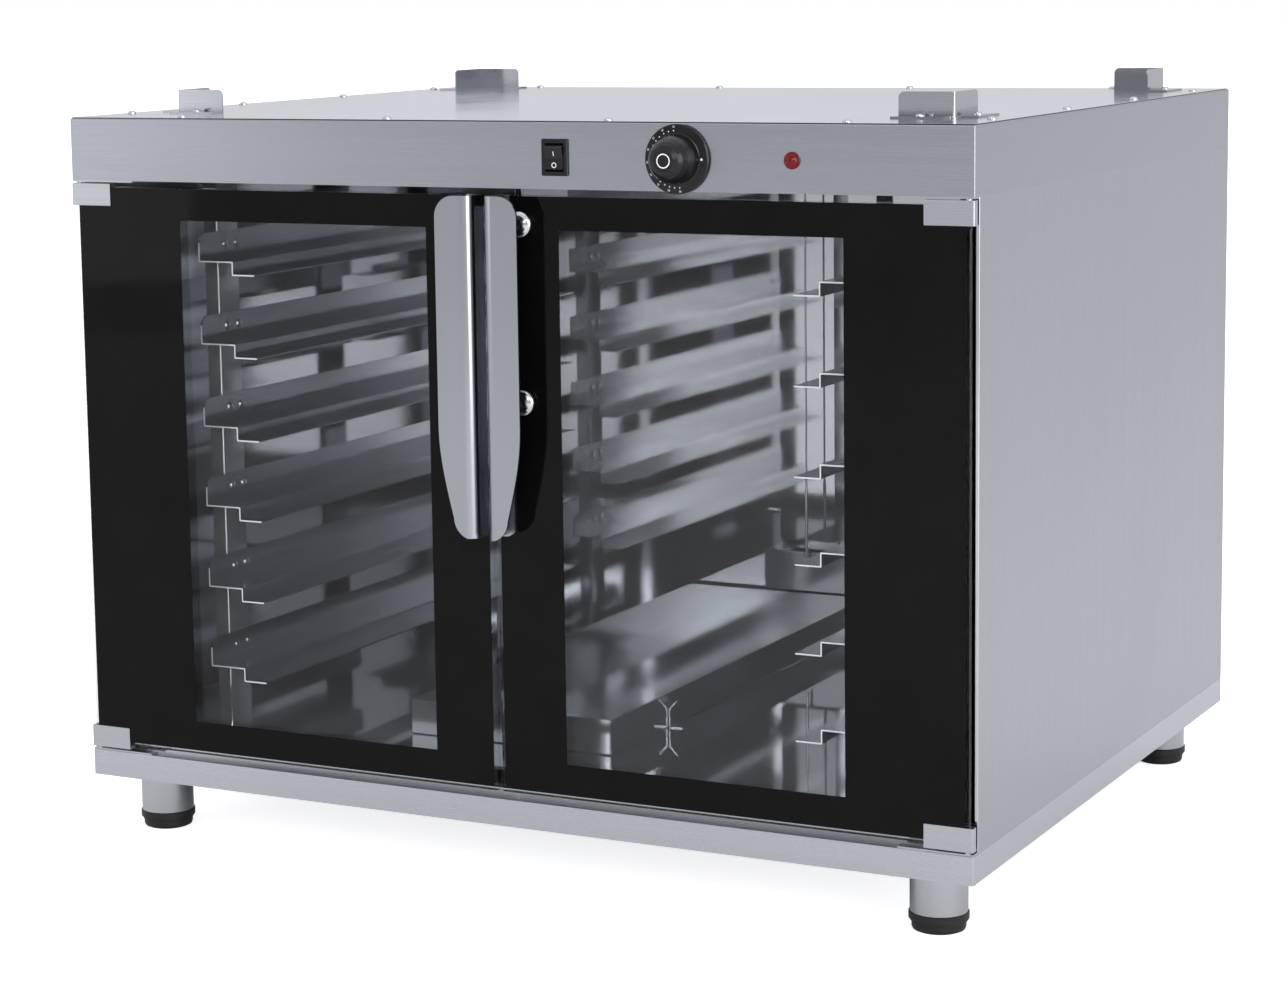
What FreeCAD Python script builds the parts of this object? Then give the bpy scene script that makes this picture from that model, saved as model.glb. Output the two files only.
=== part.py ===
import FreeCAD, Part
import math
import os

# Proofing cabinet with two glass doors, one column of tray runners and a water pan.
# Millimetres. +Z is up, -Y is the door side, +X is the right-hand side.
# The origin is the centre of the bounding box at floor level.

# Overall body
cabinet_width = 860.0
cabinet_depth = 702.0
half_width = cabinet_width / 2.0
leg_height = 54.0
base_top = 78.0
header_bottom = 603.5
header_top = 659.0
cabinet_top = 660.0
knob_projection = 28.0
gland_projection = 16.0
front_y = -(cabinet_depth + gland_projection - knob_projection) / 2.0
rear_y = front_y + cabinet_depth

# Sheet metal
sheet = 1.2
bend = 1.1
base_flange = 15.0
header_flange = 25.0
side_setback = 11.0
side_flange = 15.0
sheet_gap = 0.3
rear_inner_y = rear_y - 2.0 * sheet

# Chamber floor
floor_top = 98.0
floor_front_y = front_y + 16.0

# Legs and feet
leg_inset_x = 47.5
leg_inset_y = 48.0
leg_radius = 24.0
leg_wall = 1.5
foot_height = 16.0
foot_ring_radius = 25.0
foot_pad_radius = 22.5
foot_pad_height = 7.0
foot_groove_radius = 23.5
foot_ring_bottom = 9.0
spigot_radius = 22.45
spigot_length = 28.0

# Doors
glass_thickness = 6.0
glass_outer_inset = 4.0
door_gap = 5.0
glass_bottom = 85.0
glass_top = 598.0
glass_edge = 0.5
clip_length = 42.0
clip_height = 20.0
clip_skin = 1.0
clip_corner = 1.5
clip_bottom = 81.0
clip_top = 601.0
pivot_inset_x = 6.0
pivot_depth = 3.0
pivot_radius = 2.5
pivot_clearance = 0.05
pivot_engagement = 2.4
hinge_plate_length = 64.5
hinge_plate_depth = 9.8
hinge_plate_thickness = 1.4
catch_width = 44.0
catch_bottom = 86.0
catch_height = 16.0
catch_clearance = 0.6
magnet_radius = 4.0
magnet_depth = 3.0
magnet_offset = 11.0

# Handles
handle_width = 33.5
handle_edge_x = 5.5
handle_reach = 25.0
handle_sheet = 2.0
handle_bottom = 308.5
handle_top = 598.5
handle_bend = 9.0
handle_corner = 18.0
handle_flange = 15.0
bolt_x = 30.5
bolt_levels = (424.0, 574.0)
bolt_shank = 4.0
bolt_head_radius = 11.0
bolt_rim = 1.4
bolt_head_height = 6.5
bolt_socket = 4.4
bolt_socket_depth = 4.2
bolt_tab_radius = 9.5
bolt_nut_radius = 9.0
bolt_nut_height = 4.5

# Tray runners
runner_levels = (159.5, 233.5, 308.0, 381.0, 456.0, 530.5)
runner_plane_x = 320.0
runner_flange = 24.0
runner_shelf = 36.5
runner_drop = 11.5
runner_lip = 22.5
runner_front_y = front_y + 36.0
runner_rear_y = front_y + 648.0
runner_corner = 9.0
runner_screw_rise = 12.0
runner_screw_ys = (front_y + 77.0, front_y + 95.5, front_y + 583.0, front_y + 600.0)
small_screw_radius = 1.9
small_head_radius = 3.8
small_head_height = 2.3

# Uprights
upright_width = 32.0
upright_flange = 14.5
upright_sheet = 1.5
upright_bend = 2.4
upright_front_y = front_y + 67.5
upright_rear_y = front_y + 605.0
upright_foot = 17.0
ceiling_z = header_bottom + sheet

# Water pan and its guides
pan_left_x = -147.0
pan_right_x = 56.0
pan_front_y = front_y + 101.0
pan_rear_y = front_y + 690.0
pan_bottom = floor_top + 0.4
pan_top = 130.0
pan_sheet = 1.0
guide_y = front_y + 216.0
guide_width = 14.0
guide_gap = 0.8
guide_height = 18.0
guide_foot = 13.0
guide_flare = 8.0

# Rear duct, heater and thermostat line
duct_left_x = -36.0
duct_right_x = 25.5
duct_front_y = front_y + 680.0
duct_bottom = 188.0
heater_left_x = -46.5
heater_right_x = 90.0
heater_bottom = 138.0
heater_top = 180.0
heater_front_y = front_y + 662.0
nozzle_z = 218.0
nozzle_left_x = -52.0
nozzle_radius = 4.5
nozzle_bore = 3.2
element_radius = 4.0
element_low_z = 150.0
element_high_z = 168.0
element_right_x = 78.0
element_y = front_y + 682.0
capillary_x = 4.0
capillary_y = front_y + 656.0
capillary_radius = 1.0
bulb_radius = 1.6
bulb_bottom = 164.0
bulb_top = 250.0

# Corner brackets on the top panel
bracket_x = 378.0
bracket_front_y = front_y + 95.0
bracket_rear_y = front_y + 660.0
bracket_wall = 49.0
bracket_side_wall = 52.0
bracket_height = 21.0
bracket_sheet = 1.5
bracket_corner = 5.0
bracket_bend = 2.5
bracket_flange = 18.5
bracket_relief = 3.0
bracket_screw_run = 26.6
bracket_screw_out = 9.5

# Top panel screws
top_screw_inset = 14.0
top_screw_xs = (-318.0, -106.0, 106.0, 318.0)
top_screw_ys = (front_y + 76.0, front_y + 260.0, front_y + 444.0, front_y + 628.0)
top_screw_radius = 2.0
top_head_radius = 3.9
top_head_height = 2.6

# Controls
control_z = 630.0
switch_x = 63.5
switch_width = 24.3
switch_height = 30.6
switch_rim = 2.0
switch_body_width = 21.0
switch_body_height = 27.0
switch_body_depth = 22.0
rocker_half_width = 8.3
rocker_radius = 11.4
rocker_gap = 0.4
rocker_pivot_depth = 3.0
rocker_face = 2.6
rocker_tilt = 8.0
rocker_pin_radius = 1.5
rocker_pin_length = 1.3
knob_x = 176.0
knob_dial_radius = 28.5
knob_base_radius = 20.5
knob_front_radius = 9.5
knob_gap = 0.6
spindle_radius = 3.0
spindle_clearance = 0.05
thermostat_size = 38.0
thermostat_depth = 26.0
thermostat_neck = 5.0
lamp_x = 276.5
lamp_radius = 7.0
lamp_body_radius = 5.0
lamp_rim = 1.2
lamp_dome = 4.6
lamp_body_depth = 20.0
gland_x = 300.0
gland_hex = 11.0
gland_cap_radius = 9.5
gland_bore = 4.0


def block(x0, x1, y0, y1, z0, z1):
    """A box between two corners."""
    corner = FreeCAD.Vector(min(x0, x1), min(y0, y1), min(z0, z1))
    return Part.makeBox(abs(x1 - x0), abs(y1 - y0), abs(z1 - z0), corner)


def rod(radius, start, end):
    """A cylinder from one point to another."""
    first = FreeCAD.Vector(*start)
    run = FreeCAD.Vector(*end) - first
    return Part.makeCylinder(radius, run.Length, first, run)


def prism(points, direction):
    """A straight prism over a closed polygon of points."""
    corners = [FreeCAD.Vector(*p) for p in points]
    face = Part.Face(Part.makePolygon(corners + [corners[0]]))
    return face.extrude(FreeCAD.Vector(*direction))


def turned(profile, centre, direction):
    """A turned solid: profile is (radius, distance along direction) from the axis round to it."""
    corners = [FreeCAD.Vector(r, 0, d) for r, d in profile]
    face = Part.Face(Part.makePolygon(corners + [corners[0]]))
    solid = face.revolve(FreeCAD.Vector(0, 0, 0), FreeCAD.Vector(0, 0, 1), 360)
    turn = FreeCAD.Rotation(FreeCAD.Vector(0, 0, 1), FreeCAD.Vector(*direction))
    solid.Placement = FreeCAD.Placement(FreeCAD.Vector(*centre), turn)
    return solid


def hexagon(across_corners, centre, direction, depth):
    """A hexagonal prism standing on its centre."""
    corners = []
    for step in range(6):
        angle = math.radians(60 * step)
        corners.append((across_corners * math.cos(angle), across_corners * math.sin(angle), 0))
    solid = prism(corners, (0, 0, depth))
    turn = FreeCAD.Rotation(FreeCAD.Vector(0, 0, 1), FreeCAD.Vector(*direction))
    solid.Placement = FreeCAD.Placement(FreeCAD.Vector(*centre), turn)
    return solid


def dome_profile(head_radius, head_height, shank_radius, shank_length, rim=0.4):
    """Half section of a domed screw: the head stands up from 0, the shank hangs below it."""
    profile = [(0, -shank_length), (shank_radius, -shank_length), (shank_radius, 0), (head_radius, 0)]
    steps = 6
    for step in range(steps + 1):
        angle = math.radians(90.0 * step / steps)
        radius = head_radius * math.cos(angle)
        profile.append((radius if step < steps else 0, rim + (head_height - rim) * math.sin(angle)))
    return profile


def near(shape, tests):
    """Edges whose middle passes every named coordinate test."""
    picked = []
    for edge in shape.Edges:
        middle = edge.BoundBox.Center
        values = {"x": middle.x, "y": middle.y, "z": middle.z}
        if all(abs(values[axis] - value) < 0.01 for axis, value in tests.items()):
            picked.append(edge)
    return picked


def corner_edges(shape, pairs, axes):
    """Edges standing at each listed pair of coordinates on the two named axes."""
    picked = []
    for pair in pairs:
        picked.extend(near(shape, dict(zip(axes, pair))))
    return picked


def mirror_x(shape):
    """The left-right mirror image of a shape."""
    return shape.mirror(FreeCAD.Vector(0, 0, 0), FreeCAD.Vector(1, 0, 0))


def save(name, shape):
    """Write one named piece."""
    shape.exportStep("parts/" + name + ".step")


def group(shapes):
    """Several separate solids kept together as one piece."""
    solids = []
    for shape in shapes:
        solids.extend(shape.Solids)
    return Part.makeCompound(solids)


def base_frame():
    """Shallow upturned tray under the cabinet, with a return flange along its lower edge."""
    outer = block(-half_width, half_width, front_y, rear_y, leg_height, base_top)
    rim = half_width - sheet
    hollow = block(-rim, rim, front_y + sheet, rear_y - sheet, leg_height + sheet, base_top - sheet)
    lip = sheet + base_flange
    mouth = block(-half_width + lip, half_width - lip, front_y + lip, rear_y - lip,
                  leg_height, leg_height + sheet)
    tray = outer.cut(hollow).cut(mouth)
    corners = [(x, y) for x in (-half_width, half_width) for y in (front_y, rear_y)]
    edges = corner_edges(tray, corners, ("x", "y"))
    edges += corner_edges(tray, [(front_y, base_top), (rear_y, base_top)], ("y", "z"))
    edges += corner_edges(tray, [(-half_width, base_top), (half_width, base_top)], ("x", "z"))
    return tray.makeFillet(bend, edges)


def chamber_floor():
    """Raised floor of the chamber, folded down to the base all round."""
    side = half_width - sheet - sheet_gap
    back = rear_inner_y - sheet_gap
    outer = block(-side, side, floor_front_y, back, base_top, floor_top)
    hollow = block(-side + sheet, side - sheet, floor_front_y + sheet, back - sheet,
                   base_top, floor_top - sheet)
    tray = outer.cut(hollow)
    edges = corner_edges(tray, [(floor_front_y, floor_top)], ("y", "z"))
    return tray.makeFillet(bend, edges)


def side_panel():
    """Right side panel with a return flange along its front and rear edges."""
    outer = half_width
    inner = half_width - sheet
    front = front_y + side_setback
    skin = block(inner, outer, front, rear_y, base_top, header_bottom)
    front_lip = block(inner - side_flange, inner, front, front + sheet, base_top, header_bottom)
    rear_lip = block(inner - side_flange, inner, rear_y - sheet, rear_y, base_top, header_bottom)
    panel = skin.fuse([front_lip, rear_lip]).removeSplitter()
    edges = corner_edges(panel, [(outer, front), (outer, rear_y)], ("x", "y"))
    return panel.makeFillet(bend, edges)


def header_shell():
    """Folded header band: front, sides and rear with flanges turned inwards top and bottom."""
    rim = half_width - sheet
    outer = block(-half_width, half_width, front_y, rear_y, header_bottom, header_top)
    hollow = block(-rim, rim, front_y + sheet, rear_y - sheet, header_bottom + sheet, header_top - sheet)
    lip = header_flange
    mouth = block(-half_width + lip, half_width - lip, front_y + lip, rear_y - lip,
                  header_bottom, header_top)
    band = outer.cut(hollow).cut(mouth)
    corners = [(x, y) for x in (-half_width, half_width) for y in (front_y, rear_y)]
    edges = corner_edges(band, corners, ("x", "y"))
    edges += corner_edges(band, [(front_y, header_top), (rear_y, header_top)], ("y", "z"))
    edges += corner_edges(band, [(-half_width, header_top), (half_width, header_top)], ("x", "z"))
    band = band.makeFillet(bend, edges)
    through = front_y + 2.0 * sheet
    half_body_width = switch_body_width / 2.0
    half_body_height = switch_body_height / 2.0
    openings = [
        block(switch_x - half_body_width, switch_x + half_body_width, front_y - sheet, through,
              control_z - half_body_height, control_z + half_body_height),
        rod(thermostat_neck, (knob_x, front_y - sheet, control_z), (knob_x, through, control_z)),
        rod(lamp_body_radius, (lamp_x, front_y - sheet, control_z), (lamp_x, through, control_z)),
        rod(gland_cap_radius, (gland_x, rear_y - 2.0 * sheet, control_z), (gland_x, rear_y + sheet, control_z)),
    ]
    for x, y in perimeter_screws():
        openings.append(rod(top_screw_radius, (x, y, header_top - 2.0 * sheet), (x, y, header_top + sheet)))
    return band.cut(openings)


def perimeter_screws():
    """Centres of the screws round the edge of the top panel."""
    spots = []
    for y in (front_y + top_screw_inset, rear_y - top_screw_inset):
        spots.extend((x, y) for x in top_screw_xs)
    for x in (-half_width + top_screw_inset, half_width - top_screw_inset):
        spots.extend((x, y) for y in top_screw_ys)
    return spots


def bracket_screws():
    """Centres of the screws in the feet of the four corner brackets."""
    spots = []
    for side in (-1, 1):
        for corner_y, way in ((bracket_front_y, -1), (bracket_rear_y, 1)):
            spots.append((side * (bracket_x - bracket_screw_run), corner_y + way * bracket_screw_out))
            spots.append((side * (bracket_x + bracket_screw_out), corner_y - way * bracket_screw_run))
    return spots


def top_panel():
    """Flat lid on the header, with its screw holes."""
    inset = sheet + sheet_gap
    lid = block(-half_width + inset, half_width - inset, front_y + inset, rear_y - inset,
                header_top, cabinet_top)
    holes = []
    for x, y in perimeter_screws() + bracket_screws():
        holes.append(rod(top_screw_radius, (x, y, header_top - sheet), (x, y, cabinet_top + sheet)))
    return lid.cut(holes)


def top_screws():
    """Domed screws of the top panel and of the corner brackets."""
    screws = []
    for x, y in perimeter_screws():
        section = dome_profile(top_head_radius, top_head_height, top_screw_radius, 6.0)
        screws.append(turned(section, (x, y, cabinet_top), (0, 0, 1)))
    for x, y in bracket_screws():
        section = dome_profile(top_head_radius, top_head_height, top_screw_radius, 6.0)
        screws.append(turned(section, (x, y, cabinet_top + bracket_sheet), (0, 0, 1)))
    return group(screws)


def corner_bracket(way):
    """Right-hand corner bracket: two upright walls with feet turned outwards; way is -1 in front, 1 behind."""
    corner_y = bracket_front_y if way < 0 else bracket_rear_y
    z = cabinet_top
    top = z + bracket_height
    t = bracket_sheet
    x = bracket_x
    cross_end = x - bracket_wall
    side_end = corner_y - way * bracket_side_wall
    cross = block(cross_end, x, corner_y, corner_y - way * t, z, top)
    side = block(x - t, x, corner_y, side_end, z, top)
    cross = cross.makeFillet(bracket_corner, near(cross, {"x": cross_end, "z": top}))
    side = side.makeFillet(bracket_corner, near(side, {"y": side_end, "z": top}))
    walls = cross.fuse(side).removeSplitter()
    walls = walls.makeFillet(bracket_bend, near(walls, {"x": x, "y": corner_y}))
    cross_foot = block(cross_end, x - bracket_relief, corner_y + way * bracket_flange, corner_y - way * t, z, z + t)
    side_foot = block(x - t, x + bracket_flange, corner_y - way * bracket_relief, side_end, z, z + t)
    bracket = walls.fuse([cross_foot, side_foot]).removeSplitter()
    holes = []
    for spot in ((x - bracket_screw_run, corner_y + way * bracket_screw_out),
                 (x + bracket_screw_out, corner_y - way * bracket_screw_run)):
        holes.append(rod(top_screw_radius, (*spot, z - t), (*spot, z + 2.0 * t)))
    return bracket.cut(holes)


def upright(way):
    """Right-hand upright of angle section; way is -1 at the front and 1 at the rear."""
    face = upright_front_y if way < 0 else upright_rear_y
    t = upright_sheet
    x = runner_plane_x
    web = block(x, x + t, face, face - way * upright_width, floor_top, ceiling_z)
    flange = block(x, x + upright_flange, face, face - way * t, floor_top, ceiling_z)
    foot = block(x, x + upright_foot, face - way * upright_width, face - way * (t + 2.0),
                 floor_top, floor_top + t)
    angle = web.fuse([flange, foot]).removeSplitter()
    angle = angle.makeFillet(upright_bend, near(angle, {"x": x, "y": face}))
    holes = []
    for y in runner_screw_ys:
        if abs(y - face) < upright_width:
            for level in runner_levels:
                z = level + runner_screw_rise
                holes.append(rod(small_screw_radius, (x - t, y, z), (x + 2.0 * t, y, z)))
    return angle.cut(holes)


def runner(level):
    """Right-hand tray runner: flange, shelf, step and lip folded from one strip."""
    t = sheet
    x = runner_plane_x
    shelf_x = x - runner_shelf
    lip_x = shelf_x - runner_lip
    low = level - runner_drop
    section = [
        (x, level + runner_flange), (x, level - t), (shelf_x + t, level - t), (shelf_x + t, low - t),
        (lip_x, low - t), (lip_x, low), (shelf_x, low), (shelf_x, level), (x - t, level),
        (x - t, level + runner_flange),
    ]
    length = runner_rear_y - runner_front_y
    strip = prism([(px, runner_front_y, pz) for px, pz in section], (0, length, 0))
    outside = [(x, level - t), (shelf_x, level), (shelf_x + t, low - t)]
    strip = strip.makeFillet(bend, corner_edges(strip, outside, ("x", "z")))
    corner = near(strip, {"y": runner_front_y, "z": level + runner_flange})
    corner = [e for e in strip.Edges if abs(e.BoundBox.Center.y - runner_front_y) < 0.01
              and abs(e.BoundBox.ZMin - level - runner_flange) < 0.01]
    strip = strip.makeFillet(runner_corner, corner)
    holes = []
    for y in runner_screw_ys:
        z = level + runner_screw_rise
        holes.append(rod(small_screw_radius, (x - 2.0 * t, y, z), (x + t, y, z)))
    return strip.cut(holes)


def runner_screws():
    """Domed screws that hold every runner to its two uprights."""
    screws = []
    reach = sheet + upright_sheet + 1.5
    for side in (-1, 1):
        for level in runner_levels:
            for y in runner_screw_ys:
                section = dome_profile(small_head_radius, small_head_height, small_screw_radius, reach)
                seat = (side * (runner_plane_x - sheet), y, level + runner_screw_rise)
                screws.append(turned(section, seat, (-side, 0, 0)))
    return group(screws)


def water_pan():
    """Open folded water pan lying on the chamber floor."""
    t = pan_sheet
    outer = block(pan_left_x, pan_right_x, pan_front_y, pan_rear_y, pan_bottom, pan_top)
    hollow = block(pan_left_x + t, pan_right_x - t, pan_front_y + t, pan_rear_y - t,
                   pan_bottom + t, pan_top)
    pan = outer.cut(hollow)
    edges = corner_edges(pan, [(pan_front_y, pan_bottom), (pan_rear_y, pan_bottom)], ("y", "z"))
    edges += corner_edges(pan, [(pan_left_x, pan_bottom), (pan_right_x, pan_bottom)], ("x", "z"))
    return pan.makeFillet(0.9, edges)


def pan_guide(wall_x, way):
    """One strip guide beside the pan: a foot, a web and a top flared away from the pan."""
    t = sheet
    x0 = wall_x + way * guide_gap
    x1 = x0 + way * t
    foot_x = x0 + way * guide_foot
    top = floor_top + guide_height
    flare_x = x1 + way * guide_flare
    section = [
        (x0, floor_top), (x0, top), (flare_x - way * t, top + guide_flare), (flare_x, top + guide_flare),
        (x1, top - t), (x1, floor_top + t), (foot_x, floor_top + t), (foot_x, floor_top),
    ]
    return prism([(px, guide_y, pz) for px, pz in section], (0, guide_width, 0))


def rear_duct():
    """Channel cover on the rear wall above the heater box, with a short nozzle on its left side."""
    t = sheet
    outer = block(duct_left_x, duct_right_x, duct_front_y, rear_inner_y, duct_bottom, header_bottom)
    hollow = block(duct_left_x + t, duct_right_x - t, duct_front_y + t, rear_inner_y,
                   duct_bottom, header_bottom)
    nozzle_y = (duct_front_y + rear_inner_y) / 2.0
    nozzle = rod(nozzle_radius, (nozzle_left_x, nozzle_y, nozzle_z), (duct_left_x + t, nozzle_y, nozzle_z))
    bore = rod(nozzle_bore, (nozzle_left_x - t, nozzle_y, nozzle_z), (duct_left_x + 2.0 * t, nozzle_y, nozzle_z))
    return outer.cut(hollow).fuse(nozzle).cut(bore)


def heater_box():
    """Low cover on the rear wall around the heating element."""
    t = sheet
    outer = block(heater_left_x, heater_right_x, heater_front_y, rear_inner_y, heater_bottom, heater_top)
    hollow = block(heater_left_x + t, heater_right_x - t, heater_front_y + t, rear_inner_y,
                   heater_bottom + t, heater_top - t)
    box = outer.cut(hollow)
    edges = corner_edges(box, [(heater_front_y, heater_top), (heater_front_y, heater_bottom)], ("y", "z"))
    return box.makeFillet(bend, edges)


def heating_element():
    """Tubular element folded into a hairpin inside the heater box."""
    left = heater_left_x + sheet
    right = element_right_x
    y = element_y
    middle = (element_low_z + element_high_z) / 2.0
    r = (element_high_z - element_low_z) / 2.0
    v = FreeCAD.Vector
    path = Part.Wire([
        Part.makeLine(v(left, y, element_low_z), v(right - r, y, element_low_z)),
        Part.Arc(v(right - r, y, element_low_z), v(right, y, middle), v(right - r, y, element_high_z)).toShape(),
        Part.makeLine(v(right - r, y, element_high_z), v(left, y, element_high_z)),
    ])
    ring = Part.Wire(Part.makeCircle(element_radius, v(left, y, element_low_z), v(1, 0, 0)))
    return path.makePipeShell([ring], True, False)


def thermostat_capillary():
    """Thin tube from the ceiling with the sensing bulb at its lower end."""
    tube = rod(capillary_radius, (capillary_x, capillary_y, bulb_top), (capillary_x, capillary_y, ceiling_z))
    section = [(0, 0), (bulb_radius * 0.6, 0), (bulb_radius, 2.0), (bulb_radius, bulb_top - bulb_bottom - 3.0),
               (capillary_radius, bulb_top - bulb_bottom), (0, bulb_top - bulb_bottom)]
    bulb = turned(section, (capillary_x, capillary_y, bulb_bottom), (0, 0, 1))
    return tube.fuse(bulb)


def door_pivots():
    """Hinge plates with upright pins, above and below both doors."""
    plates = []
    for side in (-1, 1):
        outer = side * (half_width - 0.5)
        inner = outer - side * hinge_plate_length
        pin_x = side * (half_width - pivot_inset_x)
        pin_y = front_y + pivot_depth
        near_y = front_y + 0.7
        far_y = near_y + hinge_plate_depth
        low = block(outer, inner, near_y, far_y, base_top, base_top + hinge_plate_thickness)
        low_pin = rod(pivot_radius, (pin_x, pin_y, base_top + hinge_plate_thickness),
                      (pin_x, pin_y, clip_bottom + pivot_engagement))
        high = block(outer, inner, near_y, far_y, header_bottom - hinge_plate_thickness, header_bottom)
        high_pin = rod(pivot_radius, (pin_x, pin_y, header_bottom - hinge_plate_thickness),
                       (pin_x, pin_y, clip_top - pivot_engagement))
        plates.append(low.fuse(low_pin))
        plates.append(high.fuse(high_pin))
    return group(plates)


def magnet_catches():
    """Two blocks with round magnets behind the meeting edges of the doors."""
    blocks = []
    face = front_y + glass_thickness + catch_clearance
    half = catch_width / 2.0
    for low in (catch_bottom, header_bottom - catch_height):
        body = block(-half, half, face, floor_front_y, low, low + catch_height)
        body = body.makeFillet(1.5, corner_edges(body, [(-half, face), (half, face)], ("x", "y")))
        for x in (-magnet_offset, magnet_offset):
            z = low + catch_height / 2.0
            magnet = rod(magnet_radius, (x, face, z), (x, face + magnet_depth, z))
            body = body.cut(magnet)
            blocks.append(magnet)
        blocks.append(body)
    return group(blocks)


def door_glass():
    """Right-hand door glass with its polished edge and two bolt holes."""
    inner = door_gap / 2.0
    pane = block(inner, half_width - glass_outer_inset, front_y, front_y + glass_thickness,
                 glass_bottom, glass_top)
    pane = pane.makeChamfer(glass_edge, pane.Edges)
    holes = []
    for z in bolt_levels:
        holes.append(rod(bolt_shank, (bolt_x, front_y - 1.0, z), (bolt_x, front_y + glass_thickness + 1.0, z)))
    return pane.cut(holes)


def door_clips():
    """Right-hand hinge clips that wrap the two outer corners of the glass."""
    clips = []
    pin_x = half_width - pivot_inset_x
    pin_y = front_y + pivot_depth
    depth = pivot_engagement + 0.2
    front = front_y - clip_skin
    back = front_y + glass_thickness + clip_skin
    slot = block(half_width - clip_length, half_width - glass_outer_inset, front_y,
                 front_y + glass_thickness, glass_bottom, glass_top)
    for low, high, pin_end, way in (
            (clip_bottom, clip_bottom + clip_height, clip_bottom, 1),
            (clip_top - clip_height, clip_top, clip_top, -1)):
        clip = block(half_width - clip_length, half_width, front, back, low, high)
        upright_edges = corner_edges(clip, [(half_width, front), (half_width, back)], ("x", "y"))
        long_edges = corner_edges(clip, [(front, pin_end)], ("y", "z"))
        clip = clip.makeFillet(clip_corner, upright_edges)
        clip = clip.makeChamfer(0.4, corner_edges(clip, [(front, low), (front, high)], ("y", "z")))
        clip = clip.cut(slot)
        hole = rod(pivot_radius + pivot_clearance, (pin_x, pin_y, pin_end - way),
                   (pin_x, pin_y, pin_end + way * depth))
        clips.append(clip.cut(hole))
    return group(clips)


def handle_outline():
    """Face outline of the right-hand handle: rounded top corner and a tapered rounded foot."""
    v = FreeCAD.Vector
    y = front_y - handle_reach - 1.0
    inner = handle_edge_x
    outer = inner + handle_width
    r = handle_corner
    c = r * (1.0 - math.cos(math.radians(45)))
    taper_top = handle_bottom + 95.5
    curve = Part.BSplineCurve()
    sweep = [v(outer, y, taper_top), v(outer - 4.6, y, handle_bottom + 53.5),
             v(outer - 13.2, y, handle_bottom + 17.0)]
    curve.interpolate(Points=sweep, InitialTangent=v(0, 0, -1), FinalTangent=v(-0.26, 0, -1))
    toe = Part.Arc(sweep[2], v(outer - 17.6, y, handle_bottom + 5.6), v(outer - 26.0, y, handle_bottom))
    outline = Part.Wire([
        Part.makeLine(v(inner, y, handle_bottom), v(inner, y, handle_top)),
        Part.makeLine(v(inner, y, handle_top), v(outer - r, y, handle_top)),
        Part.Arc(v(outer - r, y, handle_top), v(outer - c, y, handle_top - c), v(outer, y, handle_top - r)).toShape(),
        Part.makeLine(v(outer, y, handle_top - r), v(outer, y, taper_top)),
        curve.toShape(),
        toe.toShape(),
        Part.makeLine(v(outer - 26.0, y, handle_bottom), v(inner, y, handle_bottom)),
    ])
    return Part.Face(outline).extrude(v(0, handle_reach + 2.0, 0))


def door_handle():
    """Right-hand handle: grip plate, rounded bend, web and a bolted flange on the glass."""
    t = handle_sheet
    inner = handle_edge_x
    outer = inner + handle_width
    face = front_y - handle_reach
    z0 = handle_bottom - 1.0
    z1 = handle_top + 1.0
    solid = block(inner, outer, face, front_y, z0, z1)
    solid = solid.makeFillet(handle_bend, near(solid, {"x": inner, "y": face}))
    solid = solid.makeFillet(bend, near(solid, {"x": inner, "y": front_y}))
    hollow = block(inner + t, outer + 1.0, face + t, front_y - t, z0 - 1.0, z1 + 1.0)
    hollow = hollow.makeFillet(handle_bend - t, near(hollow, {"x": inner + t, "y": face + t}))
    beyond = block(inner + handle_flange, outer + 1.0, front_y - 2.0 * t, front_y + 1.0, z0 - 1.0, z1 + 1.0)
    folded = solid.cut([hollow, beyond]).common(handle_outline())
    tabs = []
    for z in bolt_levels:
        tabs.append(rod(bolt_tab_radius, (bolt_x, front_y - t, z), (bolt_x, front_y, z)))
        tabs.append(block(inner + t, bolt_x, front_y - t, front_y, z - bolt_tab_radius, z + bolt_tab_radius))
    folded = folded.fuse(tabs).removeSplitter()
    holes = [rod(bolt_shank, (bolt_x, front_y - 2.0 * t, z), (bolt_x, front_y + 1.0, z)) for z in bolt_levels]
    return folded.cut(holes)


def handle_bolts():
    """Right-hand handle bolts: domed socket heads in front, round nuts behind the glass."""
    bolts = []
    back = front_y + glass_thickness
    for z in bolt_levels:
        seat = (bolt_x, front_y - handle_sheet, z)
        length = handle_sheet + glass_thickness + bolt_nut_height
        section = dome_profile(bolt_head_radius, bolt_head_height, bolt_shank, length, bolt_rim)
        bolt = turned(section, seat, (0, -1, 0))
        crown = front_y - handle_sheet - bolt_head_height
        socket = hexagon(bolt_socket, (bolt_x, crown - 1.0, z), (0, 1, 0), bolt_socket_depth + 1.0)
        nut = rod(bolt_nut_radius, (bolt_x, back, z), (bolt_x, back + bolt_nut_height, z))
        nut = nut.makeChamfer(0.6, [e for e in nut.Edges if abs(e.BoundBox.YMin - back - bolt_nut_height) < 0.01])
        bolts.append(bolt.cut(socket).fuse(nut).removeSplitter())
    return group(bolts)


def leg_tube(x, y):
    """Round steel leg tube that runs up inside the base frame."""
    top = base_top - sheet
    outer = rod(leg_radius, (x, y, foot_height), (x, y, top))
    bore = rod(leg_radius - leg_wall, (x, y, foot_height), (x, y, top))
    return outer.cut(bore)


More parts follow.
